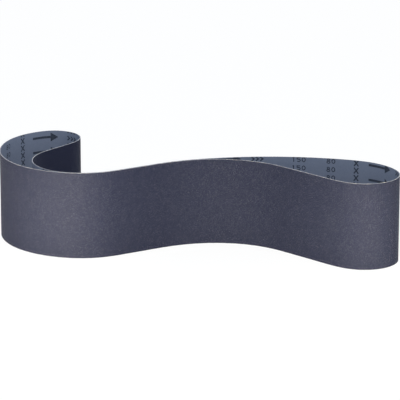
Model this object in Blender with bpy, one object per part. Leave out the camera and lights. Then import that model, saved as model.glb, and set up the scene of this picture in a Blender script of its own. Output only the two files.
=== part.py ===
"""Endless sanding belt, standing loosely on one of its cut edges.

The belt is one sheet: a cloth backing inside and a coat of abrasive grain outside. It closes at a
slanted butt joint, which a strip of thin splice tape bridges on the backing.

Seen from above, the loose belt makes a large bulb at the left (-X), a smaller loop at the right (+X)
and a stretch between them where the two backings lie against each other. The path is a chain of
stretches. Each turns through a stated angle at a stated radius, and the lengths that aren't stated
follow from the loops closing and from the length of the belt.

Metres, +Z up. The origin is below the middle of the belt's bounding box, at the level of the edge
that it stands on. Angles are in degrees, and a positive turn is to the left of the path, which runs
along the front wall from left to right.
"""

from dataclasses import dataclass
from math import ceil, cos, pi, radians, sin, tan

import bmesh
import bpy
import numpy as np

# The sheet
BELT_LENGTH = 2.000  # once round the loop, at the middle of the sheet
BELT_WIDTH = 0.150
SHEET_THICKNESS = 0.0013  # cloth, resin and grain together
EDGE_BREAK = 0.0003  # how far the brittle grain coat has broken back from each slit edge
BACK_TO_BACK_GAP = 0.0008  # left between the two backings where the walls lie together

# The bulb at the left, from the touching stretch round to the front wall
FOLD_RADIUS, FOLD_TURN = 0.0810, -122.0
CURL_RADIUS, CURL_TURN = 0.0485, 156.5
SHOULDER_RADIUS, SHOULDER_TURN = 0.1155, 43.5

# The touching stretch, along the front wall: a curve off the bulb, a straight and a curve back
FRONT_HEADING = -8.5  # how the front wall sets off from the bulb, from the X axis
FLANK_RADIUS, FLANK_TURN = 0.1170, 39.0
SADDLE_RADIUS, SADDLE_TURN = 0.2340, -13.5

# The loop at the right, from the touching stretch round to the back wall
HOLLOW_RADIUS, HOLLOW_TURN = 0.1605, -60.5
CREST_RADIUS, CREST_TURN = 0.1200, 14.0
END_RADIUS, END_TURN = 0.0605, 144.5
HAUNCH_RADIUS, HAUNCH_TURN = 0.1055, 47.0

EASE_LENGTH = 0.012  # a stiff sheet passes from one curvature to the next over about this length

# The joint and its tape
JOINT_ANGLE = 67.0  # between the joint and the belt's edge
JOINT_GAP = 0.0003  # between the two ends of the sheet
JOINT_RUN_ON = 0.018  # from the right end of the touching stretch to the joint's lower end
TAPE_WIDTH = 0.020  # square to the joint
TAPE_THICKNESS = 0.00015
TAPE_SEAT_GAP = 0.0003  # between the tape and the backing
TAPE_EDGE_INSET = 0.001  # the tape stops this far short of each edge of the belt

# Fineness of the surfaces
STATION_SPACING = 0.005  # along the belt
ROW_SPACING = 0.0125  # up the joint and the tape
PATH_SAMPLES = 1600  # points of the path before it is cut into stations
LENGTH_ROUNDS = 4  # corrections of the touching stretch, until the belt has its length


@dataclass
class Stretch:
    """A run of the path: it turns steadily by turn radians over length metres."""

    turn: float
    length: float

    def point(self, heading, fraction=1.0):
        """Where the run has got to, from its start, when it set off at this heading."""
        turned = self.turn * fraction
        run = self.length * fraction
        if abs(self.turn) < 1e-9:
            return np.array([run * cos(heading), run * sin(heading)])
        radius = self.length / self.turn
        across = sin(heading + turned) - sin(heading)
        along = cos(heading) - cos(heading + turned)
        return radius * np.array([across, along])


def bend(radius, turn):
    """A stretch at this radius through this many degrees."""
    return Stretch(radians(turn), radius * abs(radians(turn)))


def joined_points(heading, stretches):
    """The points and headings along stretches laid end to end from (0, 0)."""
    spacing = BELT_LENGTH / PATH_SAMPLES
    start = np.zeros(2)
    points, headings = [start], [heading]
    for stretch in stretches:
        steps = max(2, ceil(abs(stretch.length) / spacing))
        for step in range(1, steps + 1):
            points.append(start + stretch.point(heading, step / steps))
            headings.append(heading + stretch.turn * step / steps)
        start = points[-1]
        heading += stretch.turn
    return np.array(points), np.array(headings)


def loop(heading, stretches, gap):
    """Closes a loop that comes back, facing the other way, at the distance gap to its left.

    The last stretch makes up the turn to half a circle. The lengths of that stretch and of the
    straight one solve two equations: the ends of all stretches have to add up to the gap.
    """
    last = Stretch(pi - sum(stretch.turn for stretch in stretches), 1.0)
    stretches = stretches + [last]
    missing = gap * np.array([-sin(heading), cos(heading)])
    free, unit_ends = [], []
    for stretch in stretches:
        if stretch is last or stretch.turn == 0.0:
            free.append(stretch)
            unit_ends.append(Stretch(stretch.turn, 1.0).point(heading))
        else:
            missing = missing - stretch.point(heading)
        heading += stretch.turn
    for stretch, length in zip(free, np.linalg.solve(np.array(unit_ends).T, missing)):
        stretch.length = length
    return stretches


def left_of(headings):
    """The unit vectors to the left of these headings."""
    return np.stack([-np.sin(headings), np.cos(headings)], axis=-1)


def evenly_spaced(points, count):
    """This many points at equal distances round a closed line."""
    ring = np.vstack([points, points[:1]])
    walked = np.concatenate([[0.0], np.cumsum(np.hypot(*np.diff(ring, axis=0).T))])
    wanted = np.linspace(0.0, walked[-1], count, endpoint=False)
    return np.stack([np.interp(wanted, walked, ring[:, axis]) for axis in (0, 1)], axis=-1)


def perimeter(points):
    """The length of a closed line."""
    return np.hypot(*(np.roll(points, -1, axis=0) - points).T).sum()


def eased(points):
    """A closed line with each point averaged over its neighbours, weighted by a bell curve."""
    count = len(points)
    apart = np.arange(count)
    apart = np.minimum(apart, count - apart) * perimeter(points) / count
    weights = np.exp(-0.5 * (apart / EASE_LENGTH) ** 2)
    weights /= weights.sum()
    order = (np.arange(count)[:, None] - np.arange(count)[None, :]) % count
    return weights[order] @ points


def belt_path():
    """The middle of the sheet seen from above, and how far along it the touching stretch ends.

    Returns evenly spaced points round the loop, from the left end of the touching stretch along
    the front wall, round the right loop, back along the touching stretch and round the bulb.
    """
    between_walls = SHEET_THICKNESS + BACK_TO_BACK_GAP
    flank, saddle = bend(FLANK_RADIUS, FLANK_TURN), bend(SADDLE_RADIUS, SADDLE_TURN)
    set_off = radians(FRONT_HEADING)
    bulb = [bend(FOLD_RADIUS, FOLD_TURN), Stretch(0.0, 1.0), bend(CURL_RADIUS, CURL_TURN)]
    bulb = loop(set_off + pi, bulb + [bend(SHOULDER_RADIUS, SHOULDER_TURN)], between_walls)
    heading = set_off + flank.turn + saddle.turn
    right = [bend(HOLLOW_RADIUS, HOLLOW_TURN), Stretch(0.0, 1.0), bend(CREST_RADIUS, CREST_TURN)]
    right += [bend(END_RADIUS, END_TURN), bend(HAUNCH_RADIUS, HAUNCH_TURN)]
    right = loop(heading, right, between_walls)
    bulb_points = joined_points(set_off + pi, bulb)[0]
    right_points = joined_points(heading, right)[0]

    touching = Stretch(0.0, 0.0)
    loops = sum(stretch.length for stretch in bulb + right)
    touching.length = (BELT_LENGTH - loops) / 2 - flank.length - saddle.length
    for _ in range(LENGTH_ROUNDS):
        front, headings = joined_points(set_off, [flank, touching, saddle])
        back = front + between_walls * left_of(headings)
        pieces = [front[:-1], right_points[:-1] + front[-1]]
        pieces += [back[:0:-1], bulb_points[:-1] + back[0]]
        line = eased(evenly_spaced(np.vstack(pieces), PATH_SAMPLES))
        touching.length += (BELT_LENGTH - perimeter(line)) / 2
    touch_end = flank.length + touching.length + saddle.length
    touch_end += sum(stretch.length for stretch in right)
    return evenly_spaced(line, PATH_SAMPLES), touch_end


class Wall:
    """The standing sheet: gives the place of any point from its distance along the belt."""

    def __init__(self):
        line, self.touch_end = belt_path()
        along = np.roll(line, -1, axis=0) - np.roll(line, 1, axis=0)
        along /= np.linalg.norm(along, axis=1)[:, None]
        self.outward = np.stack([along[:, 1], -along[:, 0]], axis=-1)
        outer = line + self.outward * SHEET_THICKNESS / 2
        self.line = line - (outer.min(axis=0) + outer.max(axis=0)) / 2

    def points(self, distance, out, height):
        """Points this far along the belt, this far out from the middle of the sheet and this high."""
        distance, out, height = np.broadcast_arrays(distance, out, height)
        sample = np.arange(PATH_SAMPLES) * BELT_LENGTH / PATH_SAMPLES
        coordinates = []
        for axis in (0, 1):
            middle = np.interp(distance, sample, self.line[:, axis], period=BELT_LENGTH)
            normal = np.interp(distance, sample, self.outward[:, axis], period=BELT_LENGTH)
            coordinates.append(middle + normal * out)
        return np.stack(coordinates + [height], axis=-1)

    def joint_distance(self, height):
        """How far along the belt the joint is at a height: it leans towards the right loop below."""
        lower_end = self.touch_end - JOINT_RUN_ON
        return lower_end + height / tan(radians(JOINT_ANGLE))


def material(name, colour, roughness):
    """A plain Principled material."""
    made = bpy.data.materials.new(name)
    made.use_nodes = True
    shader = made.node_tree.nodes["Principled BSDF"]
    shader.inputs["Base Color"].default_value = (*colour, 1.0)
    shader.inputs["Roughness"].default_value = roughness
    shader.inputs["Metallic"].default_value = 0.0
    return made


def lofted(name, sections, closed, surface):
    """An object skinned over sections, each a ring of as many points.

    The skin runs round from the last section to the first if closed, and is capped otherwise.
    """
    rings, corners = sections.shape[:2]
    mesh = bmesh.new()
    vertices = [[mesh.verts.new(point) for point in section] for section in sections]
    for ring in range(rings if closed else rings - 1):
        here, there = vertices[ring], vertices[(ring + 1) % rings]
        for corner in range(corners):
            after = (corner + 1) % corners
            mesh.faces.new((here[corner], there[corner], there[after], here[after]))
    if not closed:
        mesh.faces.new(vertices[0])
        mesh.faces.new(vertices[-1][::-1])
    bmesh.ops.recalc_face_normals(mesh, faces=mesh.faces)
    data = bpy.data.meshes.new(name)
    mesh.to_mesh(data)
    mesh.free()
    data.shade_smooth()
    data.set_sharp_from_angle(angle=radians(30.0))
    made = bpy.data.objects.new(name, data)
    bpy.context.collection.objects.link(made)
    data.materials.append(surface)
    return made


def sheet(wall):
    """The belt as a closed ring: its section is the sheet's, with the grain broken at the edges."""
    inside, outside = -SHEET_THICKNESS / 2, SHEET_THICKNESS / 2
    section = np.array(
        [
            (inside, 0.0),
            (outside - EDGE_BREAK, 0.0),
            (outside, EDGE_BREAK),
            (outside, BELT_WIDTH - EDGE_BREAK),
            (outside - EDGE_BREAK, BELT_WIDTH),
            (inside, BELT_WIDTH),
        ]
    )
    stations = np.linspace(0.0, BELT_LENGTH, ceil(BELT_LENGTH / STATION_SPACING), endpoint=False)
    sections = wall.points(stations[:, None], section[None, :, 0], section[None, :, 1])
    return lofted("abrasive_belt", sections, True, material("grain_coat", (0.056, 0.057, 0.088), 0.75))


def leaning_strip(wall, name, half_width, faces, low, high, surface):
    """A strip along the joint, with half_width to each side along the belt, between two depths.

    faces are the depths of its two sides from the middle of the sheet, the inner one first.
    """
    rows = np.linspace(low, high, ceil((high - low) / ROW_SPACING) + 1)
    columns = max(1, ceil(2 * half_width / STATION_SPACING))
    across = np.linspace(-half_width, half_width, columns + 1)
    out = np.repeat(np.array(faces), columns + 1)
    across = np.concatenate([across, across[::-1]])
    distance = wall.joint_distance(rows)[:, None] + across[None, :]
    return lofted(name, wall.points(distance, out[None, :], rows[:, None]), False, surface)


def cut_joint(belt, wall):
    """Cuts the slanted butt joint through the sheet, clear of the wall in front of it."""
    overrun = BACK_TO_BACK_GAP / 2
    faces = (-SHEET_THICKNESS / 2 - overrun, SHEET_THICKNESS / 2 + overrun)
    half_width = JOINT_GAP / 2 / sin(radians(JOINT_ANGLE))
    steel = material("knife", (0.5, 0.5, 0.5), 0.5)
    knife = leaning_strip(wall, "joint_knife", half_width, faces, -overrun, BELT_WIDTH + overrun, steel)
    knife.hide_render = True
    knife.display_type = "WIRE"
    cut = belt.modifiers.new("butt_joint", "BOOLEAN")
    cut.operation = "DIFFERENCE"
    cut.solver = "EXACT"
    cut.object = knife


def splice_tape(wall):
    """The film tape that bridges the joint on the backing."""
    outer_face = -SHEET_THICKNESS / 2 - TAPE_SEAT_GAP
    faces = (outer_face - TAPE_THICKNESS, outer_face)
    half_width = TAPE_WIDTH / 2 / sin(radians(JOINT_ANGLE))
    film = material("tape_film", (0.10, 0.12, 0.16), 0.35)
    low, high = TAPE_EDGE_INSET, BELT_WIDTH - TAPE_EDGE_INSET
    return leaning_strip(wall, "splice_tape", half_width, faces, low, high, film)


def build():
    """Builds the belt and its splice tape in an empty scene."""
    for item in list(bpy.data.objects):
        bpy.data.objects.remove(item, do_unlink=True)
    wall = Wall()
    belt = sheet(wall)
    cut_joint(belt, wall)
    splice_tape(wall)


build()
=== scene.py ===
"""The looks of an endless sanding belt that stands loosely on one cut edge.

Every piece follows one path, seen from above: a chain of named bends that closes on itself. The
sheet is two bonded layers, a printed cloth backing inside and a coat of dark grain outside. Both
end at a slanted butt joint, which a film tape bridges on the backing. Sizes are in metres.
"""

import logging
from dataclasses import dataclass, field
from enum import Enum
from math import ceil, cos, pi, radians, sin, tan
from typing import Any, Union

import bmesh
import bpy
import numpy as np
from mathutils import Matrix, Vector


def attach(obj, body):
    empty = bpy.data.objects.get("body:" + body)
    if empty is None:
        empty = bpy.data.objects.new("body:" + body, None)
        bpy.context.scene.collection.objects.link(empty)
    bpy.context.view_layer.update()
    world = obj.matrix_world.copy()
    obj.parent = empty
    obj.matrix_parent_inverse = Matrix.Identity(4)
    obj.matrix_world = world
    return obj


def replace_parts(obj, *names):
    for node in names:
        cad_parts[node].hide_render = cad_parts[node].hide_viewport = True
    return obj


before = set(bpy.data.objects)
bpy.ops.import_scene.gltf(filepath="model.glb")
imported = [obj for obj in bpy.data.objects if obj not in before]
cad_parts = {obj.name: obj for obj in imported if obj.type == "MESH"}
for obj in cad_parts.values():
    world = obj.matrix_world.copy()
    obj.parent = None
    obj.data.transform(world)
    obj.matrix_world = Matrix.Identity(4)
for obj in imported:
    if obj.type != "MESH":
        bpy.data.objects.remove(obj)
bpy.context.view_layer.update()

log = logging.getLogger("sanding_belt")

BODY = "root"
BELT_NODE = "abrasive_belt"
TAPE_NODE = "splice_tape"
SURFACE_MAP = "along_and_up"
SHARP_ANGLE = radians(35.0)

Colour = tuple[float, float, float]
Triple = tuple[float, float, float]
Pair = tuple[float, float]
Flat = tuple[np.ndarray, np.ndarray]
Corners = tuple[np.ndarray, np.ndarray, np.ndarray]
Number = Union[float, "Shade"]


# The path of the belt


@dataclass
class Stretch:
    """A run of the path that turns steadily by turn radians over length metres."""

    turn: float
    length: float

    def points(self, heading: float, fractions: np.ndarray) -> np.ndarray:
        """Places along the run, measured from its start.

        An arc's place is its radius times the change in the sine and in minus the cosine of the
        heading. A straight's place is the distance times the heading's cosine and sine.

        Args:
            heading: the direction at its start, in radians.
            fractions: how far along each place is, from 0 to 1.

        Returns:
            One row of x and y for each fraction.
        """
        if abs(self.turn) < 1e-9:
            run = self.length * fractions
            return np.stack([run * cos(heading), run * sin(heading)], axis=-1)
        angle = heading + self.turn * fractions
        radius = self.length / self.turn
        across = np.sin(angle) - sin(heading)
        along = cos(heading) - np.cos(angle)
        return radius * np.stack([across, along], axis=-1)

    def end(self, heading: float) -> np.ndarray:
        """Where the run ends, measured from its start."""
        return self.points(heading, np.ones(1))[0]


def bend(radius: float, turn: float) -> Stretch:
    """A stretch at this radius through this many degrees, to the left if positive."""
    return Stretch(radians(turn), radius * abs(radians(turn)))


def left_of(headings: np.ndarray) -> np.ndarray:
    """The unit vectors to the left of these headings."""
    return np.stack([-np.sin(headings), np.cos(headings)], axis=-1)


@dataclass
class BeltPath:
    """The middle of the sheet seen from above, the same path as the solid's.

    It runs along the front wall from left to right, round the right loop, back along the front
    wall and round the bulb at the left.
    """

    length: float = 2.000
    width: float = 0.150
    thickness: float = 0.0013
    back_to_back_gap: float = 0.0008
    front_heading: float = -8.5
    fold: Pair = (0.0810, -122.0)
    curl: Pair = (0.0485, 156.5)
    shoulder: Pair = (0.1155, 43.5)
    flank: Pair = (0.1170, 39.0)
    saddle: Pair = (0.2340, -13.5)
    hollow: Pair = (0.1605, -60.5)
    crest: Pair = (0.1200, 14.0)
    end: Pair = (0.0605, 144.5)
    haunch: Pair = (0.1055, 47.0)
    ease_length: float = 0.012
    samples: int = 6400
    length_rounds: int = 4
    touch_end: float = field(init=False, default=0.0)

    def loop(self, heading: float, stretches: list[Stretch], gap: float) -> list[Stretch]:
        """Closes a loop that comes back, facing the other way, at the distance gap to its left.

        A last stretch makes up the turn to half a circle, and two equations give its length and
        the straight one's: the ends of all stretches add up to the gap.

        Args:
            heading: the direction at the start, in radians.
            stretches: the loop's bends, and one straight whose length isn't known.
            gap: the distance from the start to the end.

        Returns:
            All stretches of the loop, with their lengths.
        """
        last = Stretch(pi - sum(part.turn for part in stretches), 1.0)
        stretches = stretches + [last]
        missing = gap * left_of(np.array(heading))
        free, unit_ends = [], []
        for part in stretches:
            if part is last or part.turn == 0.0:
                free.append(part)
                unit_ends.append(Stretch(part.turn, 1.0).end(heading))
            else:
                missing = missing - part.end(heading)
            heading += part.turn
        for part, length in zip(free, np.linalg.solve(np.array(unit_ends).T, missing)):
            part.length = float(length)
        return stretches

    def joined(self, heading: float, stretches: list[Stretch]) -> Flat:
        """Stretches laid end to end from the origin.

        Args:
            heading: the direction at the start, in radians.
            stretches: the runs, in order.

        Returns:
            The points along them, and the heading at each.
        """
        start = np.zeros(2)
        points, headings = [start[None, :]], [np.array([heading])]
        for part in stretches:
            steps = max(2, ceil(abs(part.length) * self.samples / self.length))
            fractions = np.arange(1, steps + 1) / steps
            points.append(start + part.points(heading, fractions))
            headings.append(heading + part.turn * fractions)
            start = points[-1][-1]
            heading += part.turn
        return np.vstack(points), np.concatenate(headings)

    def evenly_spaced(self, points: np.ndarray) -> np.ndarray:
        """A closed line with its points set at equal distances.

        Args:
            points: the line's points, in order.

        Returns:
            As many points as there are samples.
        """
        ring = np.vstack([points, points[:1]])
        walked = np.concatenate([[0.0], np.cumsum(np.hypot(*np.diff(ring, axis=0).T))])
        wanted = np.linspace(0.0, walked[-1], self.samples, endpoint=False)
        return np.stack([np.interp(wanted, walked, ring[:, axis]) for axis in (0, 1)], axis=-1)

    def perimeter(self, points: np.ndarray) -> float:
        """The length of a closed line."""
        return float(np.hypot(*(np.roll(points, -1, axis=0) - points).T).sum())

    def eased(self, points: np.ndarray) -> np.ndarray:
        """A closed line averaged with a bell curve as wide as ease_length.

        The average is taken wave by wave: a wave of frequency f, in waves per metre, keeps
        exp(-2 (pi f ease_length) squared) of its height.

        Args:
            points: the line's evenly spaced points.

        Returns:
            As many points of the eased line.
        """
        frequency = np.fft.fftfreq(len(points), self.perimeter(points) / len(points))
        kept = np.exp(-2.0 * (pi * frequency * self.ease_length) ** 2)
        return np.fft.ifft(np.fft.fft(points, axis=0) * kept[:, None], axis=0).real

    def line(self) -> np.ndarray:
        """The whole belt's middle line, from the left end of the touching stretch.

        The touching stretch is corrected a few times by half of what the eased line lacks in
        length, because the belt passes along it twice.

        Returns:
            Evenly spaced points.
        """
        between = self.thickness + self.back_to_back_gap
        flank, saddle = bend(*self.flank), bend(*self.saddle)
        set_off = radians(self.front_heading)
        bulb = [bend(*self.fold), Stretch(0.0, 1.0), bend(*self.curl), bend(*self.shoulder)]
        bulb = self.loop(set_off + pi, bulb, between)
        heading = set_off + flank.turn + saddle.turn
        right = [bend(*self.hollow), Stretch(0.0, 1.0), bend(*self.crest)]
        right = self.loop(heading, right + [bend(*self.end), bend(*self.haunch)], between)
        bulb_points = self.joined(set_off + pi, bulb)[0]
        right_points = self.joined(heading, right)[0]
        loops = sum(part.length for part in bulb + right)
        touching = Stretch(0.0, (self.length - loops) / 2 - flank.length - saddle.length)
        closed = np.zeros((0, 2))
        for _ in range(self.length_rounds):
            front, headings = self.joined(set_off, [flank, touching, saddle])
            back = front + between * left_of(headings)
            pieces = [front[:-1], right_points[:-1] + front[-1]]
            pieces += [back[:0:-1], bulb_points[:-1] + back[0]]
            closed = self.eased(self.evenly_spaced(np.vstack(pieces)))
            touching.length += (self.length - self.perimeter(closed)) / 2
        self.touch_end = flank.length + touching.length + saddle.length
        self.touch_end += sum(part.length for part in right)
        return self.evenly_spaced(closed)


@dataclass
class Wall:
    """The standing sheet. It gives the place of any point from its distance along the belt."""

    path: BeltPath = field(default_factory=BeltPath)
    joint_angle: float = 67.0
    joint_gap: float = 0.0003
    joint_run_on: float = 0.018
    wave_height: float = 0.00006
    wave_fade: float = 0.6
    long_waves: int = 17
    long_bow: float = 1.3
    short_waves: int = 29
    short_share: float = 0.7
    short_start: float = 2.0
    short_lean: float = 0.8
    middle: np.ndarray = field(init=False)
    outward: np.ndarray = field(init=False)

    def __post_init__(self) -> None:
        """Works out the path and its outward normals, centred as the solid is."""
        line = self.path.line()
        along = np.roll(line, -1, axis=0) - np.roll(line, 1, axis=0)
        along /= np.linalg.norm(along, axis=1)[:, None]
        self.outward = np.stack([along[:, 1], -along[:, 0]], axis=-1)
        outer = line + self.outward * self.path.thickness / 2
        self.middle = line - (outer.min(axis=0) + outer.max(axis=0)) / 2

    def waves(self, distance: np.ndarray, height: np.ndarray) -> np.ndarray:
        """How far the sheet swells outwards from a true wall.

        It is the sine of the long waves, which bow with the height, and a share of the sine of
        the short waves, which lean with it. Both fade towards the top as a cosine.

        Args:
            distance: along the belt.
            height: above the edge that it stands on.

        Returns:
            The swelling at each place, in metres.
        """
        turn = 2 * pi * distance / self.path.length
        rise = pi * height / self.path.width
        long = np.sin(self.long_waves * turn + self.long_bow * np.sin(rise))
        short = np.sin(self.short_waves * turn + self.short_start + self.short_lean * rise)
        fade = np.cos(rise / 2 - self.wave_fade)
        return self.wave_height * (long + self.short_share * short) * fade

    def points(self, distance: Any, out: Any, height: Any) -> np.ndarray:
        """Places on or near the sheet.

        Args:
            distance: along the belt; past its length it starts again.
            out: outwards from the middle of the sheet.
            height: above the edge that it stands on.

        Returns:
            An array of x, y and z with the shape that the three have together.
        """
        distance, out, height = np.broadcast_arrays(distance, out, height)
        sample = np.arange(self.path.samples) * self.path.length / self.path.samples
        out = out + self.waves(distance, height)
        coordinates = []
        for axis in (0, 1):
            middle = np.interp(distance, sample, self.middle[:, axis], period=self.path.length)
            normal = np.interp(distance, sample, self.outward[:, axis], period=self.path.length)
            coordinates.append(middle + normal * out)
        return np.stack(coordinates + [height], axis=-1)

    def joint_lean(self, height: Any) -> Any:
        """How far the joint has moved along the belt at a height, from where it is at half height."""
        return (height - self.path.width / 2) / tan(radians(self.joint_angle))

    @property
    def joint_middle(self) -> float:
        """How far along the belt the joint is at half height."""
        return self.path.touch_end - self.joint_run_on + self.joint_lean(self.path.width)


# Shader maths and the finishes

WHITE = (1.0, 1.0, 1.0)


class NodeTree:
    """The nodes of a material or of the world."""

    def __init__(self, tree: Any) -> None:
        """Takes up a tree of nodes."""
        self.tree = tree

    def node(self, kind: str, settings: dict[str, Any], inputs: dict[Any, Any]) -> Any:
        """Adds any node.

        Args:
            kind: the node's type.
            settings: its properties, set first, such as a Math node's operation.
            inputs: values or links for its sockets, by name or number.

        Returns:
            The node.
        """
        made = self.tree.nodes.new(kind)
        for name, value in settings.items():
            setattr(made, name, value)
        for name, value in inputs.items():
            self.feed(made.inputs[name], value)
        return made

    def feed(self, socket: Any, value: Any) -> None:
        """Links a shade or a socket to this socket, or sets it to a plain value.

        Args:
            socket: an input socket.
            value: what goes into it.
        """
        if isinstance(value, Shade):
            value = value.socket
        if isinstance(value, bpy.types.NodeSocket):
            self.tree.links.new(value, socket)
        elif isinstance(value, tuple) and len(value) == 3 and socket.type == "RGBA":
            socket.default_value = (*value, 1.0)
        else:
            socket.default_value = value

    def surface(self, output: str, share: Any, first: Any, second: Any) -> None:
        """Mixes two shaders into an output node.

        Args:
            output: the output node's name.
            share: how much of the second there is, from 0 to 1.
            first: the shader node at 0.
            second: the shader node at 1.
        """
        inputs = {0: share, 1: first.outputs[0], 2: second.outputs[0]}
        mixed = self.node("ShaderNodeMixShader", {}, inputs)
        self.feed(self.tree.nodes[output].inputs["Surface"], mixed.outputs[0])


class Shade:
    """A value in a tree of nodes. Arithmetic on it adds Math nodes."""

    def __init__(self, nodes: NodeTree, socket: Any) -> None:
        """Wraps an output socket."""
        self.nodes = nodes
        self.socket = socket

    def _maths(self, operation: str, *values: Number) -> "Shade":
        """One Math node on these values."""
        node = self.nodes.node("ShaderNodeMath", {"operation": operation}, dict(enumerate(values)))
        return Shade(self.nodes, node.outputs[0])

    def __add__(self, other: Number) -> "Shade":
        """This value plus another."""
        return self._maths("ADD", self, other)

    def __radd__(self, other: Number) -> "Shade":
        """A number plus this value."""
        return self._maths("ADD", other, self)

    def __sub__(self, other: Number) -> "Shade":
        """This value less another."""
        return self._maths("SUBTRACT", self, other)

    def __rsub__(self, other: Number) -> "Shade":
        """A number less this value."""
        return self._maths("SUBTRACT", other, self)

    def __mul__(self, other: Number) -> "Shade":
        """This value times another."""
        return self._maths("MULTIPLY", self, other)

    def __rmul__(self, other: Number) -> "Shade":
        """A number times this value."""
        return self._maths("MULTIPLY", other, self)

    def __gt__(self, other: Number) -> "Shade":
        """1 where this value is the greater, and 0 elsewhere."""
        return self._maths("GREATER_THAN", self, other)

    def ribs(self, pitch: float) -> "Shade":
        """Smooth ribs from 0 to 1, a pitch apart: half a sine, and a half."""
        return self._maths("SINE", self * (2 * pi / pitch)) * 0.5 + 0.5

    def blend(self, other: "Shade", share: float) -> "Shade":
        """This value with a share of another in its place."""
        return self * (1.0 - share) + other * share

    def band(self, low: float, high: float) -> "Shade":
        """A smooth step in this value.

        Args:
            low: the level up to which it gives 0.
            high: the level from which it gives 1.

        Returns:
            The step.
        """
        settings = {"interpolation_type": "SMOOTHSTEP"}
        inputs = {"Value": self, "From Min": low, "From Max": high}
        return Shade(self.nodes, self.nodes.node("ShaderNodeMapRange", settings, inputs).outputs[0])


class Recipe(NodeTree):
    """One material and its nodes."""

    def __init__(self, name: str) -> None:
        """Makes a node material with nothing but a Principled shader.

        Args:
            name: the material's name.
        """
        self.material = bpy.data.materials.new(name)
        self.material.use_nodes = True
        super().__init__(self.material.node_tree)
        self.shader = self.tree.nodes["Principled BSDF"]

    def coordinates(self) -> Any:
        """The piece's own coordinates, in metres."""
        return self.node("ShaderNodeTexCoord", {}, {}).outputs["Object"]

    def along_and_up(self) -> tuple[Shade, Shade]:
        """The place on the belt, from the piece's own map.

        Returns:
            The distance along the belt and the height, in metres.
        """
        uv = self.node("ShaderNodeUVMap", {"uv_map": SURFACE_MAP}, {}).outputs[0]
        split = self.node("ShaderNodeSeparateXYZ", {}, {"Vector": uv})
        return Shade(self, split.outputs["X"]), Shade(self, split.outputs["Y"])

    def noise(self, size: float, detail: float = 2.0) -> Shade:
        """Smooth noise around 0.5.

        Args:
            size: about how large its features are, in metres.
            detail: how many finer layers it has.

        Returns:
            The noise.
        """
        inputs = {"Vector": self.coordinates(), "Scale": 1.0 / size}
        inputs |= {"Detail": detail, "Roughness": 0.6}
        return Shade(self, self.node("ShaderNodeTexNoise", {}, inputs).outputs[0])

    def grains(self, size: float) -> tuple[Shade, Shade]:
        """Close-packed grains.

        Args:
            size: from one grain's middle to the next, in metres.

        Returns:
            The distance from each grain's middle, in grains, and a random value for each grain.
        """
        inputs = {"Vector": self.coordinates(), "Scale": 1.0 / size}
        made = self.node("ShaderNodeTexVoronoi", {"feature": "F1"}, inputs)
        split = self.node("ShaderNodeSeparateColor", {}, {"Color": made.outputs["Color"]})
        return Shade(self, made.outputs["Distance"]), Shade(self, split.outputs[0])

    def grey(self, value: Shade) -> Any:
        """A grey of this value."""
        return self.node("ShaderNodeCombineColor", {}, {0: value, 1: value, 2: value}).outputs[0]

    def mix(self, factor: Any, first: Any, second: Any, blend: str = "MIX") -> Any:
        """A colour between two, or another blend of them.

        Args:
            factor: how much of the blend there is, from 0 to 1.
            first: the colour at 0.
            second: the colour at 1, or what the first is blended with.
            blend: the kind of blend.

        Returns:
            The colour's socket.
        """
        settings = {"data_type": "RGBA", "blend_type": blend}
        made = self.node("ShaderNodeMix", settings, {0: factor, 6: first, 7: second})
        return made.outputs[2]

    def bump(self, height: Shade, depth: float) -> Any:
        """The normal of a relief this many metres deep, from a height of 0 to 1."""
        inputs = {"Strength": 1.0, "Distance": depth, "Height": height}
        return self.node("ShaderNodeBump", {}, inputs).outputs[0]

    def finish(self, **sockets: Any) -> Any:
        """Sets or links the Principled shader's sockets.

        Args:
            sockets: values or links by the sockets' names, with _ for each space.

        Returns:
            The finished material.
        """
        for name, value in sockets.items():
            self.feed(self.shader.inputs[name.replace("_", " ")], value)
        return self.material


@dataclass(frozen=True)
class GrainFinish:
    """Dark grain in resin: each grain has its own shade, clusters mottle it, and a few have a painted
    glint.
    """

    grain_size: float = 0.00032
    dark: Colour = (0.0072, 0.0090, 0.0233)
    light: Colour = (0.0350, 0.0389, 0.0726)
    # painted glint: a pale colour that stands in for light sparkling off a few grains
    painted_glint: Colour = (0.30, 0.32, 0.38)
    painted_glint_share: float = 0.03
    painted_glint_strength: float = 0.41
    mottle_sizes: Pair = (0.0007, 0.0085)
    mottle_depths: Pair = (1.05, 0.05)
    lowest_grain: float = 0.35
    relief: float = 0.00016
    roughness: float = 0.55
    mottle_polish: float = 0.10
    glint_polish: float = 0.25
    gloss: float = 0.05

    def material(self) -> bpy.types.Material:
        """Makes the material.

        Returns:
            The grain coat's material.
        """
        recipe = Recipe("abrasive_grain")
        distance, shade = recipe.grains(self.grain_size)
        fine, broad = (recipe.noise(size) - 0.5 for size in self.mottle_sizes)
        mottle = 1.0 + fine * self.mottle_depths[0] + broad * self.mottle_depths[1]
        body = recipe.mix(shade, self.dark, self.light)
        body = recipe.mix(1.0, body, recipe.grey(mottle), "MULTIPLY")
        # Painted glints: a share of the grains takes the pale glint colour in place of light
        # sparkling off them, and these grains are also made smoother.
        painted_glints = shade > 1.0 - self.painted_glint_share
        colour = recipe.mix(painted_glints * self.painted_glint_strength, body, self.painted_glint)
        height = (1.0 - distance) * (self.lowest_grain + (1.0 - self.lowest_grain) * shade)
        rough = self.roughness - self.mottle_polish * fine - self.glint_polish * painted_glints
        normal = recipe.bump(height, self.relief)
        recipe.finish(Base_Color=colour, Roughness=rough, Normal=normal)
        return recipe.finish(Specular_IOR_Level=self.gloss)


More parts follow.
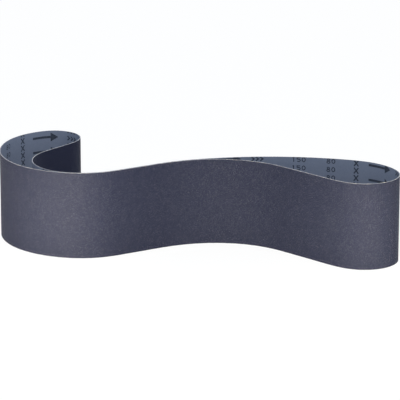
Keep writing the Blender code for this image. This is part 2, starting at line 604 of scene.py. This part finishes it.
@dataclass(frozen=True)
class ClothFinish:
    """Resin-filled twill: slanted ribs across fine yarns, a little uneven in colour."""

    yarn: float = 0.00055
    twill_slope: float = 0.5
    twill_share: float = 0.6
    valley: Colour = (0.132, 0.164, 0.235)
    crown: Colour = (0.284, 0.317, 0.410)
    patch_size: float = 0.012
    fluff_size: float = 0.0022
    tone_shares: Triple = (0.3, 0.25, 0.45)
    fluff_lift: float = 0.3
    relief: float = 0.00008
    roughness: float = 0.78
    patch_roughness: float = 0.12

    def material(self) -> bpy.types.Material:
        """Makes the material.

        Returns:
            The backing's material.
        """
        recipe = Recipe("twill_cloth")
        along, up = recipe.along_and_up()
        twill = (along * self.twill_slope + up).ribs(2 * self.yarn)
        weave = up.ribs(self.yarn).blend(twill, self.twill_share)
        patches = recipe.noise(self.patch_size, detail=4.0)
        fluff = recipe.noise(self.fluff_size, detail=3.0)
        of_weave, of_patches, of_fluff = self.tone_shares
        tone = weave * of_weave + patches * of_patches + fluff * of_fluff
        colour = recipe.mix(tone, self.valley, self.crown)
        normal = recipe.bump(weave.blend(fluff, self.fluff_lift), self.relief)
        rough = self.roughness + self.patch_roughness * (patches - 0.5)
        return recipe.finish(Base_Color=colour, Roughness=rough, Normal=normal)


@dataclass(frozen=True)
class CutEdgeFinish:
    """The slit edge: pale yarn ends and broken resin."""

    pale: Colour = (0.74, 0.72, 0.73)
    dull: Colour = (0.20, 0.20, 0.22)
    fleck_size: float = 0.0022
    fleck_band: Pair = (0.30, 0.62)
    relief: float = 0.0001
    roughness: float = 0.85

    def material(self) -> bpy.types.Material:
        """Makes the material.

        Returns:
            The cut edge's material.
        """
        recipe = Recipe("cut_edge")
        flecks = recipe.noise(self.fleck_size, detail=3.0).band(*self.fleck_band)
        colour = recipe.mix(flecks, self.dull, self.pale)
        normal = recipe.bump(flecks, self.relief)
        return recipe.finish(Base_Color=colour, Roughness=self.roughness, Normal=normal)


@dataclass(frozen=True)
class InkFinish:
    """Dark printing ink that has sunk unevenly into the cloth."""

    full: Colour = (0.026, 0.033, 0.052)
    thin: Colour = (0.062, 0.078, 0.115)
    blot_size: float = 0.0016
    blot_band: Pair = (0.35, 0.75)
    roughness: float = 0.7
    blot_roughness: float = 0.15

    def material(self) -> bpy.types.Material:
        """Makes the material.

        Returns:
            The print's material.
        """
        recipe = Recipe("print_ink")
        blots = recipe.noise(self.blot_size, detail=3.0).band(*self.blot_band)
        colour = recipe.mix(blots, self.full, self.thin)
        rough = self.roughness + self.blot_roughness * blots
        return recipe.finish(Base_Color=colour, Roughness=rough)


@dataclass(frozen=True)
class TapeFinish:
    """Thin film with reinforcing threads along it, a little glossier than the cloth."""

    film: Colour = (0.085, 0.110, 0.160)
    thread: Colour = (0.150, 0.170, 0.215)
    thread_pitch: float = 0.0012
    smear_size: float = 0.006
    tone_shares: Pair = (0.5, 0.2)
    smear_lift: float = 0.4
    relief: float = 0.00003
    roughness: float = 0.38
    smear_roughness: float = 0.2

    def material(self) -> bpy.types.Material:
        """Makes the material.

        Returns:
            The tape's material.
        """
        recipe = Recipe("splice_film")
        threads = recipe.along_and_up()[0].ribs(self.thread_pitch)
        smears = recipe.noise(self.smear_size)
        tone = threads * self.tone_shares[0] + smears * self.tone_shares[1]
        colour = recipe.mix(tone, self.film, self.thread)
        normal = recipe.bump(threads.blend(smears, self.smear_lift), self.relief)
        rough = self.roughness + self.smear_roughness * smears
        return recipe.finish(Base_Color=colour, Roughness=rough, Normal=normal)


@dataclass(frozen=True)
class FloorFinish:
    """A white studio floor. The camera sees it mostly as plain white, with the shadow kept."""

    paper: Colour = (0.86, 0.86, 0.86)
    roughness: float = 0.9
    plain_share: float = 0.85
    plain_glow: float = 1.07

    def material(self) -> bpy.types.Material:
        """Makes the material.

        Returns:
            The floor's material.
        """
        recipe = Recipe("floor")
        recipe.finish(Base_Color=self.paper, Roughness=self.roughness)
        rays = recipe.node("ShaderNodeLightPath", {}, {}).outputs
        seen = Shade(recipe, rays["Is Camera Ray"]) + Shade(recipe, rays["Is Glossy Ray"])
        seen = seen + Shade(recipe, rays["Is Transmission Ray"])
        plain = {"Color": WHITE, "Strength": self.plain_glow}
        glow = recipe.node("ShaderNodeEmission", {}, plain)
        recipe.surface("Material Output", (seen > 0.5) * self.plain_share, recipe.shader, glow)
        return recipe.material


# Meshes


def linked(name: str, data: Any) -> Any:
    """A new object, linked to the scene.

    Args:
        name: what it is called.
        data: its mesh, lamp or camera.

    Returns:
        The object.
    """
    made = bpy.data.objects.new(name, data)
    bpy.context.collection.objects.link(made)
    return made


def mesh_piece(name: str, vertices: np.ndarray, faces: np.ndarray, surfaces: list[Any]) -> Any:
    """An object at the origin from vertices and faces with as many corners each.

    Args:
        name: the piece's name.
        vertices: one row of x, y and z each.
        faces: one row of vertex numbers each.
        surfaces: its materials.

    Returns:
        The object, linked to the scene.
    """
    mesh = bpy.data.meshes.new(name)
    mesh.from_pydata(vertices.reshape(-1, 3).tolist(), [], faces.tolist())
    for surface in surfaces:
        mesh.materials.append(surface)
    mesh.update()
    return linked(name, mesh)


def skin_faces(rings: int, corners: int) -> np.ndarray:
    """The faces of a tube, from each ring of corners to the next.

    Args:
        rings: how many rings there are.
        corners: how many corners each has.

    Returns:
        One row of four vertex numbers for each face.
    """
    ring, corner = np.meshgrid(np.arange(rings - 1), np.arange(corners), indexing="ij")
    after = (corner + 1) % corners
    here, there = ring * corners, (ring + 1) * corners
    return np.stack([here + corner, there + corner, there + after, here + after], -1).reshape(-1, 4)


def add_surface_map(piece: Any, distance: np.ndarray, height: np.ndarray) -> None:
    """Gives a piece its own map, in metres.

    Args:
        piece: the object.
        distance: how far along the belt each vertex is.
        height: how high each vertex is.
    """
    layer = piece.data.uv_layers.new(name=SURFACE_MAP)
    corner = np.empty(len(piece.data.loops), np.int32)
    piece.data.loops.foreach_get("vertex_index", corner)
    pairs = np.stack([distance.ravel()[corner], height.ravel()[corner]], axis=-1)
    layer.data.foreach_set("uv", pairs.astype(np.float32).ravel())


def cap_ends(piece: Any, ends: list[range]) -> None:
    """Closes the ends of a tube with faces of its last material, and turns all normals outwards.

    Args:
        piece: the object.
        ends: the vertex numbers round each open end.
    """
    mesh = bmesh.new()
    mesh.from_mesh(piece.data)
    mesh.verts.ensure_lookup_table()
    for corners in ends:
        face = mesh.faces.new([mesh.verts[corner] for corner in corners])
        face.material_index = len(piece.data.materials) - 1
    bmesh.ops.recalc_face_normals(mesh, faces=mesh.faces)
    mesh.to_mesh(piece.data)
    mesh.free()


def belt_tube(name: str, wall: Wall, corners: Corners, surfaces: list[Any], sides: np.ndarray) -> Any:
    """A closed tube that follows the belt, smooth apart from its sharp edges.

    Args:
        name: the piece's name.
        wall: the standing sheet.
        corners: the distances along the belt, the places outwards and the heights, ring by ring.
        surfaces: its materials, with the ends' material last.
        sides: the number of the material of each side round a ring.

    Returns:
        The object.
    """
    distance, out, height = np.broadcast_arrays(*corners)
    rings, count = distance.shape
    points = wall.points(distance, out, height)
    piece = mesh_piece(name, points, skin_faces(rings, count), surfaces)
    kinds = np.tile(sides, rings - 1).astype(np.int32)
    piece.data.polygons.foreach_set("material_index", kinds)
    cap_ends(piece, [range(count), range(distance.size - count, distance.size)])
    add_surface_map(piece, distance, height)
    piece.data.shade_smooth()
    piece.data.set_sharp_from_angle(angle=SHARP_ANGLE)
    return piece


def adopt(piece: Any) -> Any:
    """Makes a piece ride on the belt's body.

    Args:
        piece: the object.

    Returns:
        The object.
    """
    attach(piece, BODY)
    return piece


@dataclass
class Sheet:
    """The belt's two bonded layers, cloth inside and grain outside."""

    wall: Wall
    cloth_thickness: float = 0.0006
    stations: int = 1601
    rows: int = 16
    lean_decay: float = 0.150
    chip_least: float = 0.00005
    chip_most: float = 0.00040
    chip_pitches: Pair = (0.0045, 0.0015)
    chip_shares: Pair = (0.6, 0.4)
    chip_rarity: float = 1.5
    round_off: float = 0.00008
    edge_step: float = 0.00005
    slope_depth: float = 0.0002
    slope_foot: float = 0.4
    seed: int = 41

    def run(self, height: np.ndarray) -> np.ndarray:
        """The distance along the belt of each station, at each height.

        The first and last station lean with the joint. The lean fades over lean_decay by a smooth
        step, so that all other stations stand upright.

        Args:
            height: heights, as an array that broadcasts against one row per station.

        Returns:
            Distances, from one side of the joint round to the other.
        """
        share = np.linspace(0.0, 1.0, self.stations)[:, None]
        length = self.wall.path.length - self.wall.joint_gap
        from_end = np.clip(np.minimum(share, 1.0 - share) * length / self.lean_decay, 0.0, 1.0)
        lean = self.wall.joint_lean(height) * (1.0 - from_end**2 * (3.0 - 2.0 * from_end))
        start = self.wall.joint_middle + self.wall.joint_gap / 2
        return start + share * length + lean

    def chips(self, draws: np.random.Generator) -> np.ndarray:
        """How far the grain has broken back from an edge at each station.

        It adds up straight lines between random knots, in a coarse and a fine pitch, and raises
        them to the power chip_rarity.

        Args:
            draws: the source of random numbers.

        Returns:
            The distance from the edge, in metres.
        """
        length = self.wall.path.length
        place = np.linspace(0.0, length, self.stations)
        level = np.zeros(self.stations)
        for pitch, share in zip(self.chip_pitches, self.chip_shares):
            knots = np.arange(0.0, length + 2 * pitch, pitch)
            level += share * np.interp(place, knots, draws.random(len(knots)))
        return self.chip_least + (self.chip_most - self.chip_least) * level**self.chip_rarity

    def layer(self, name: str, section: Flat, surfaces: list[Any]) -> Any:
        """One closed layer of the sheet, skinned along the belt over its section.

        The section has its face first, from edge to edge, and then four corners, the middle two
        with the bond between them. All sides but the face and the bond are cut edges.

        Args:
            name: the piece's name.
            section: its places outwards and its heights, by station or for all.
            surfaces: the material of the face and that of the cut edges.

        Returns:
            The object.
        """
        out, height = section
        cut = np.arange(out.shape[1]) >= self.rows
        cut[self.rows + 2] = False
        return belt_tube(name, self.wall, (self.run(height), out, height), surfaces, cut)

    @property
    def bond(self) -> float:
        """How far outwards the layers meet."""
        return self.cloth_thickness - self.wall.path.thickness / 2

    def backing_section(self) -> Flat:
        """The cloth's section, the same all round.

        Returns:
            The places outwards and the heights of its corners.
        """
        width, round_off = self.wall.path.width, self.round_off
        inside = -self.wall.path.thickness / 2
        levels = np.linspace(0.0, width, self.rows + 1)
        rims = [inside + round_off, self.bond, self.bond, inside + round_off]
        out = np.concatenate([np.full(self.rows + 1, inside), rims])
        up = np.concatenate([np.clip(levels, round_off, width - round_off), [width, width, 0, 0]])
        return out[None, :], up[None, :]

    def coat_section(self) -> Flat:
        """The coat's section at each station, with the grain broken back from both edges.

        Returns:
            The places outwards and the heights of its corners, one row for each station.
        """
        draws = np.random.default_rng(self.seed)
        low, high = self.chips(draws)[:, None], self.chips(draws)[:, None]
        width, step, foot = self.wall.path.width, self.edge_step, self.slope_foot
        share = np.linspace(1.0, 0.0, self.rows + 1)[None, :]
        face = low + (width - high - low) * share
        up = [face, foot * low, 0 * low + step, 0 * low + width - step, width - foot * high]
        outside = self.wall.path.thickness / 2
        slope = outside - self.slope_depth
        rims = [slope, self.bond, self.bond, slope]
        return np.concatenate([np.full(self.rows + 1, outside), rims])[None, :], np.hstack(up)

    def build(self, cloth: Any, grain: Any, edge: Any) -> list[Any]:
        """Builds both layers.

        Args:
            cloth: the backing's material.
            grain: the coat's material.
            edge: the cut edges' material.

        Returns:
            The backing and the coat.
        """
        backing = self.layer("cloth_backing", self.backing_section(), [cloth, edge])
        coat = self.layer("grain_coat", self.coat_section(), [grain, edge])
        for piece, slot in ((backing, "cloth_backing"), (coat, "grain_coat")):
            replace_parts(adopt(piece), BELT_NODE)
        return [backing, coat]


@dataclass
class EdgeFibres:
    """Short yarn ends that stand out of the cloth's upper cut edge."""

    wall: Wall
    cloth_thickness: float = 0.0006
    cloth_range: Pair = (0.1, 0.95)
    pitch: float = 0.0011
    shortest: float = 0.0001
    longest: float = 0.0004
    radius: float = 0.00004
    levels: Triple = (-0.4, 0.45, 1.0)
    tapers: Triple = (1.0, 0.8, 0.35)
    splay: float = 0.35
    droop: float = 1.5
    joint_margin: float = 0.001
    sides: int = 3
    seed: int = 7

    def build(self, surface: Any) -> Any:
        """Builds all fibres as one piece: each is a thin tapered tube that leans at random.

        It has a ring of corners at each of its levels, which are shares of its reach, and leans
        as the power droop of the level.

        Args:
            surface: the fibres' material.

        Returns:
            The object.
        """
        draws = np.random.default_rng(self.seed)
        path = self.wall.path
        count = int(path.length / self.pitch)
        start = self.wall.joint_middle + self.wall.joint_lean(path.width) + self.joint_margin
        room = (path.length - 2 * self.joint_margin) / count
        distance = start + room * (np.arange(count) + draws.random(count))
        share = draws.uniform(*self.cloth_range, count)
        depth = self.cloth_thickness * share - path.thickness / 2
        reach = draws.uniform(self.shortest, self.longest, count)[:, None]
        lean = draws.normal(0.0, self.splay, (count, 2))
        level = np.array(self.levels)
        side = reach * np.clip(level, 0, 1) ** self.droop
        angle = 2 * pi * np.arange(self.sides) / self.sides
        thin = self.radius * np.array(self.tapers)[:, None]
        along = (distance[:, None] + lean[:, :1] * side)[:, :, None] + thin * np.cos(angle)
        out = (depth[:, None] + lean[:, 1:] * side)[:, :, None] + thin * np.sin(angle)
        points = self.wall.points(along, out, (path.width + reach * level)[:, :, None])
        first = np.arange(count)[:, None, None] * len(level) * self.sides
        faces = (first + skin_faces(len(level), self.sides)[None]).reshape(-1, 4)
        return adopt(mesh_piece("edge_fibres", points, faces, [surface]))


@dataclass
class SpliceTape:
    """The film tape across the joint, on the backing."""

    wall: Wall
    width: float = 0.020
    thickness: float = 0.00015
    seat: float = 0.00003
    inset: float = 0.001
    columns: int = 20
    rows: int = 60

    def build(self, surface: Any) -> Any:
        """Builds the tape as a slanted strip that follows the backing.

        Args:
            surface: the tape's material.

        Returns:
            The object.
        """
        path = self.wall.path
        half = self.width / 2 / sin(radians(self.wall.joint_angle))
        across = np.linspace(-half, half, self.columns + 1)
        across = np.concatenate([across, across[::-1]])
        height = np.linspace(self.inset, path.width - self.inset, self.rows + 1)[:, None]
        near = -path.thickness / 2 - self.seat
        out = np.repeat([near - self.thickness, near], self.columns + 1)
        distance = self.wall.joint_middle + self.wall.joint_lean(height) + across[None, :]
        corners = (distance, out[None, :], height)
        film = belt_tube("splice_tape_film", self.wall, corners, [surface], np.zeros(len(out)))
        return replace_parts(adopt(film), TAPE_NODE)


# The print on the backing


class Mark(Enum):
    """The marks that are printed in columns across the backing."""

    GRADE = "grade_numbers"
    SIZE = "size_numbers"
    CROSS = "crosses"
    ARROW = "run_arrows"
    CHEVRON = "chevrons"


NUMBERS = {Mark.GRADE: "80", Mark.SIZE: "150"}
PLACES = {
    Mark.CROSS: 0.0,
    Mark.GRADE: 0.0444,
    Mark.SIZE: 0.1000,
    Mark.ARROW: -0.0470,
    Mark.CHEVRON: -0.0990,
}


def stroke(line: np.ndarray, width: float, closed: bool = False, sharpest: float = 0.4) -> Flat:
    """A flat ribbon of even width along a line, mitred at its corners.

    Each point moves to both sides along the mean of its neighbours' normals, by half the width
    over the cosine of half the corner.

    Args:
        line: the points, one row of x and y each.
        width: the ribbon's width.
        closed: whether the line runs back to its start.
        sharpest: the least cosine that a mitre follows.

    Returns:
        The vertices, and faces with four corners.
    """
    steps = np.roll(line, -1, axis=0) - line
    steps /= np.linalg.norm(steps, axis=1)[:, None]
    before = np.roll(steps, 1, axis=0)
    if not closed:
        steps[-1], before[0] = steps[-2], steps[0]
    normal = np.stack([-(steps + before)[:, 1], (steps + before)[:, 0]], axis=-1)
    normal /= np.linalg.norm(normal, axis=1)[:, None]
    cosine = np.abs(normal[:, 1] * steps[:, 0] - normal[:, 0] * steps[:, 1])
    side = normal * (width / 2 / np.maximum(cosine, sharpest))[:, None]
    vertices = np.stack([line + side, line - side], axis=1).reshape(-1, 2)
    count = len(line)
    here = np.arange(count if closed else count - 1)
    there = (here + 1) % count
    return vertices, np.stack([2 * here, 2 * here + 1, 2 * there + 1, 2 * there], axis=-1)


def ellipse(level: float, size: Pair, points: int = 20) -> np.ndarray:
    """Points round an ellipse of this width and height, with its middle at this level."""
    angle = 2 * pi * np.arange(points) / points
    return np.array([0.0, level]) + np.array(size) / 2 * np.stack([np.cos(angle), np.sin(angle)], -1)


def trace(corners: list[Pair], pieces: int) -> np.ndarray:
    """Points of a line through these corners, with this many equal pieces between each two."""
    place = np.arange((len(corners) - 1) * pieces + 1) / pieces
    return np.stack([np.interp(place, range(len(corners)), axis) for axis in zip(*corners)], -1)


def joined_flat(parts: list[Flat]) -> Flat:
    """Several flat meshes as one.

    Args:
        parts: the vertices and faces of each.

    Returns:
        The vertices and faces of all.
    """
    first = np.cumsum([0] + [len(points) for points, _ in parts])
    faces = [quads + before for (_, quads), before in zip(parts, first)]
    return np.vstack([points for points, _ in parts]), np.vstack(faces)


@dataclass
class BackPrint:
    """Columns of plain marks across the backing, repeated along the belt."""

    wall: Wall
    period: float = 0.2697
    first_cross: float = 1.6895
    row_pitch: float = 0.0131
    row_level: float = 0.1386
    skew: float = 0.0060
    number_row_pitch: float = 0.0147
    spare_rows: int = 2
    digit_height: float = 0.0086
    digit_width: float = 0.0068
    digit_pitch: float = 0.0086
    line_width: float = 0.0016
    eight_waist: float = 0.24
    eight_upper: Pair = (0.82, 0.48)
    eight_lower: Pair = (1.0, 0.52)
    one_flag: tuple[Pair, Pair] = ((-0.2, 0.3), (0.0, 0.45))
    five_stem_end: float = 0.1
    five_bowl: Pair = (0.6, -0.4)
    five_angles: Pair = (140.0, -150.0)
    cross_half: Pair = (0.0040, 0.0052)
    cross_weight: float = 1.45
    arrow_half: float = 0.024
    arrow_neck: float = 0.010
    arrow_barb: float = 0.0082
    arrow_bar: float = 0.0042
    chevron_pitch: float = 0.0075
    chevron_back: Pair = (-0.0028, 0.0036)
    chevron_tip: float = 0.0018
    chevron_weight: float = 1.5
    proud: float = 0.00004
    edge_margin: float = 0.0003
    joint_margin: float = 0.06

    def digit(self, figure: str) -> list[Flat]:
        """The strokes of a digit round its middle. Their proportions are shares of its size.

        0 is a ring, and 8 a narrower ring on a wider one. 1 is an upright with a short flag. 5 is
        a bar with a short upright, and a bowl that is open to the left.

        Args:
            figure: 0, 1, 5 or 8.

        Returns:
            A ribbon for each stroke.
        """
        line, wide, tall = self.line_width, self.digit_width, self.digit_height
        side, top = (wide - line) / 2, (tall - line) / 2
        if figure == "0":
            return [stroke(ellipse(0.0, (2 * side, 2 * top), points=28), line, True)]
        if figure == "8":
            rings = []
            for rise, (across, up) in ((1, self.eight_upper), (-1, self.eight_lower)):
                size = (across * wide - line, up * tall - line / 2)
                rings.append(ellipse(rise * self.eight_waist * tall, size))
            return [stroke(points, line, True) for points in rings]
        if figure == "1":
            upright = trace([(0.0, -tall / 2), (0.0, tall / 2)], pieces=5)
            flag = trace([(x * tall, y * tall) for x, y in self.one_flag], pieces=3)
            return [stroke(upright, line), stroke(flag, line)]
        bar = trace([(side, top), (-side, top), (-side, self.five_stem_end * top)], pieces=3)
        angle = np.radians(np.linspace(*self.five_angles, 16))
        height, drop = self.five_bowl
        bowl = np.stack([side * np.cos(angle), top * (height * np.sin(angle) + drop)], axis=-1)
        return [stroke(bar, line), stroke(bowl, line)]

    def number(self, figures: str) -> Flat:
        """Digits side by side.

        Args:
            figures: the digits, as text.

        Returns:
            The vertices and faces round the number's middle.
        """
        ribbons = []
        for index, figure in enumerate(figures):
            shift = np.array([(index - (len(figures) - 1) / 2) * self.digit_pitch, 0.0])
            ribbons += [(points + shift, quads) for points, quads in self.digit(figure)]
        return joined_flat(ribbons)

    def arrow(self) -> Flat:
        """A bar with a head of strips between its two slanted sides.

        Returns:
            The vertices and faces round the arrow's middle.
        """
        bar = trace([(-self.arrow_half, 0.0), (self.arrow_neck, 0.0)], pieces=14)
        upper = trace([(self.arrow_neck, self.arrow_barb), (self.arrow_half, 0.0)], pieces=5)
        sides = np.stack([upper, upper * np.array([1.0, -1.0])], axis=1).reshape(-1, 2)
        here = np.arange(len(upper) - 1)[:, None] * 2
        return joined_flat([stroke(bar, self.arrow_bar), (sides, here + np.array([[0, 1, 3, 2]]))])

    def shape(self, mark: Mark) -> Flat:
        """The flat outline of one mark around its middle, as it is read, in metres.

        Args:
            mark: which one.

        Returns:
            Its vertices and four-cornered faces.
        """
        if mark in NUMBERS:
            return self.number(NUMBERS[mark])
        if mark is Mark.ARROW:
            return self.arrow()
        if mark is Mark.CROSS:
            wide, tall = self.cross_half
            arms = [trace([(-wide, -rise), (wide, rise)], pieces=6) for rise in (tall, -tall)]
            return joined_flat([stroke(arm, self.line_width * self.cross_weight) for arm in arms])
        back, half = self.chevron_back
        corner = trace([(back, half), (self.chevron_tip, 0.0), (back, -half)], pieces=3)
        points, quads = stroke(corner, self.line_width * self.chevron_weight)
        shifts = [np.array([step * self.chevron_pitch, 0.0]) for step in (-1, 0, 1)]
        return joined_flat([(points + shift, quads) for shift in shifts])

    def copies(self, mark: Mark) -> Flat:
        """The middles of all copies of a mark.

        The print runs unbroken from one side of the joint round to the other, and its rows climb
        by skew times the distance.

        Args:
            mark: which one.

        Returns:
            Their distances along the belt and their heights.
        """
        start, length = self.wall.joint_middle, self.wall.path.length
        first = self.first_cross + PLACES[mark]
        first -= ceil((first - start) / self.period) * self.period
        distance = first + self.period * np.arange(1, ceil(length / self.period) + 1)
        clear = self.joint_margin
        distance = distance[(distance > start + clear) & (distance < start + length - clear)]
        pitch = self.number_row_pitch if mark in NUMBERS else self.row_pitch
        pitch *= 2 if mark is Mark.ARROW else 1
        rows = np.arange(-self.spare_rows, int(self.wall.path.width / pitch) + self.spare_rows)
        level = self.row_level + self.skew * (distance[:, None] - self.first_cross)
        return np.broadcast_arrays(distance[:, None], level - pitch * rows[None, :])

    def build(self, mark: Mark, surface: Any) -> Any:
        """Builds all copies of one mark flat, cuts them at the belt's edges and lays them on it.

        Args:
            mark: which one.
            surface: the ink's material.

        Returns:
            The object.
        """
        shape, quads = self.shape(mark)
        distance, height = (place.reshape(-1, 1) for place in self.copies(mark))
        along, up = distance - shape[:, 0], height + shape[:, 1]
        faces = np.arange(len(distance))[:, None, None] * len(shape) + quads
        corners = np.stack([along, up, 0 * up], axis=-1)
        piece = mesh_piece(f"print_{mark.value}", corners, faces.reshape(-1, 4), [surface])
        flat = bmesh.new()
        flat.from_mesh(piece.data)
        upper = self.wall.path.width - self.edge_margin
        for level, outwards in ((self.edge_margin, -1.0), (upper, 1.0)):
            parts = flat.verts[:] + flat.edges[:] + flat.faces[:]
            cut = {"plane_co": (0, level, 0), "plane_no": (0, outwards, 0), "clear_outer": True}
            bmesh.ops.bisect_plane(flat, geom=parts, **cut)
        flat.to_mesh(piece.data)
        flat.free()
        place = np.empty(len(piece.data.vertices) * 3)
        piece.data.vertices.foreach_get("co", place)
        along, up = place.reshape(-1, 3)[:, :2].T
        points = self.wall.points(along, -self.wall.path.thickness / 2 - self.proud, up)
        piece.data.vertices.foreach_set("co", points.ravel())
        piece.data.update()
        return adopt(piece)


# The studio


def aimed(name: str, data: Any, place: Triple, aim: Triple) -> Any:
    """Puts a lamp or a camera into the scene.

    Args:
        name: what it is called.
        data: the lamp or the camera.
        place: where it stands.
        aim: where it points.

    Returns:
        The object that holds it.
    """
    holder = linked(name, data)
    holder.location = place
    holder.rotation_mode = "QUATERNION"
    holder.rotation_quaternion = (Vector(aim) - Vector(place)).to_track_quat("-Z", "Y")
    return holder


@dataclass(frozen=True)
class Softbox:
    """A rectangular lamp with a beam of limited spread, aimed at a point."""

    name: str
    place: Triple
    aim: Triple
    size: Pair
    watts: float
    spread: float = 180.0
    colour: Colour = WHITE

    def build(self) -> None:
        """Makes the lamp, which the camera doesn't see."""
        lamp = bpy.data.lights.new(self.name, "AREA")
        lamp.shape = "RECTANGLE"
        lamp.size, lamp.size_y = self.size
        lamp.energy = self.watts
        lamp.color = self.colour
        lamp.spread = radians(self.spread)
        aimed(self.name, lamp, self.place, self.aim).visible_camera = False


LEFT_CREST = (-0.235, -0.10)
RIGHT_CREST = (0.29, -0.15)
SMALL_BOX = (0.22, 0.16)


def low_softbox(name: str, place: Pair, aim: Pair, watts: float) -> Softbox:
    """A small warm softbox with a narrow beam, level with the belt's middle."""
    level, spread, warm = 0.075, 40.0, (1.14, 1.01, 0.69)
    return Softbox(name, (*place, level), (*aim, level), SMALL_BOX, watts, spread, warm)


@dataclass
class Studio:
    """The floor, the lamps and the camera."""

    picture_pixels: float = 400.0
    focal_pixels: float = 2898.0
    pixels_per_metre: float = 583.0
    elevation: float = 16.82
    azimuth: float = -0.25
    sensor_width: float = 36.0
    farthest: float = 100.0
    aim: Triple = (0.0051, -0.0099, 0.0749)
    floor_size: float = 12.0
    floor_level: float = -0.0002
    world_strength: float = 0.60
    world_colour: Colour = (0.90, 1.00, 1.11)
    softboxes: tuple[Softbox, ...] = (
        Softbox("high_softbox", (0.0, -1.2, 1.2), (0.0, 0.0, 0.07), (0.9, 0.6), 6.6),
        low_softbox("left_end_softbox", (-1.3, -0.5), LEFT_CREST, 0.080),
        low_softbox("left_side_softbox", (-0.9, -0.8), LEFT_CREST, 0.100),
        low_softbox("left_crest_softbox", (-0.43, -0.8), LEFT_CREST, 0.86),
        low_softbox("hollow_softbox", (-0.2, -0.9), RIGHT_CREST, 0.390),
        low_softbox("right_crest_softbox", (0.55, -0.87), RIGHT_CREST, 0.61),
        Softbox("bulb_softbox", (0.45, -0.45, 0.75), (-0.30, 0.05, 0.12), SMALL_BOX, 0.047, 30.0),
    )

    def floor(self) -> None:
        """A wide floor, which isn't part of the object."""
        half = self.floor_size / 2
        corners = np.array([(-half, -half), (half, -half), (half, half), (-half, half)])
        points = np.hstack([corners, np.full((4, 1), self.floor_level)])
        surface = FloorFinish().material()
        mesh_piece("floor", points, np.array([[0, 1, 2, 3]]), [surface])

    def world(self) -> None:
        """Even light from all round, which the camera sees as plain white."""
        world = bpy.data.worlds.new("studio")
        bpy.context.scene.world = world
        world.use_nodes = True
        nodes = NodeTree(world.node_tree)
        light = world.node_tree.nodes["Background"]
        nodes.feed(light.inputs["Color"], self.world_colour)
        nodes.feed(light.inputs["Strength"], self.world_strength)
        white = nodes.node("ShaderNodeBackground", {}, {"Color": WHITE})
        rays = nodes.node("ShaderNodeLightPath", {}, {})
        nodes.surface("World Output", rays.outputs["Is Camera Ray"], light, white)

    def camera(self) -> None:
        """A long lens in front of the belt, tilted down to its middle."""
        lens = bpy.data.cameras.new("camera")
        lens.sensor_width = self.sensor_width
        lens.lens = self.focal_pixels / self.picture_pixels * self.sensor_width
        lens.clip_end = self.farthest
        tilt, turn = radians(self.elevation), radians(self.azimuth)
        back = Vector((-sin(turn) * cos(tilt), -cos(turn) * cos(tilt), sin(tilt)))
        place = Vector(self.aim) + back * (self.focal_pixels / self.pixels_per_metre)
        bpy.context.scene.camera = aimed("camera", lens, place, self.aim)

    def build(self) -> None:
        """Sets up everything round the belt."""
        bpy.context.scene.view_settings.view_transform = "Standard"
        self.floor()
        self.world()
        self.camera()
        for softbox in self.softboxes:
            softbox.build()


def report(part: Any, *pieces: Any) -> None:
    """Logs the pieces that a class has built."""
    for piece in pieces:
        log.info("%s: %s, %d faces", type(part).__name__, piece.name, len(piece.data.polygons))


def main() -> None:
    """Builds the belt piece by piece."""
    logging.basicConfig(level=logging.INFO, format="%(message)s")
    wall = Wall()
    log.info("Wall: %.3f m round", wall.path.perimeter(wall.middle))
    edge, ink = CutEdgeFinish().material(), InkFinish().material()
    sheet, fibres, tape, printing = Sheet(wall), EdgeFibres(wall), SpliceTape(wall), BackPrint(wall)
    report(sheet, *sheet.build(ClothFinish().material(), GrainFinish().material(), edge))
    report(fibres, fibres.build(edge))
    report(tape, tape.build(TapeFinish().material()))
    report(printing, *[printing.build(mark, ink) for mark in Mark])
    studio = Studio()
    studio.build()
    log.info("Studio: %d softboxes", len(studio.softboxes))
    bpy.context.view_layer.update()


if __name__ == "__main__":
    main()
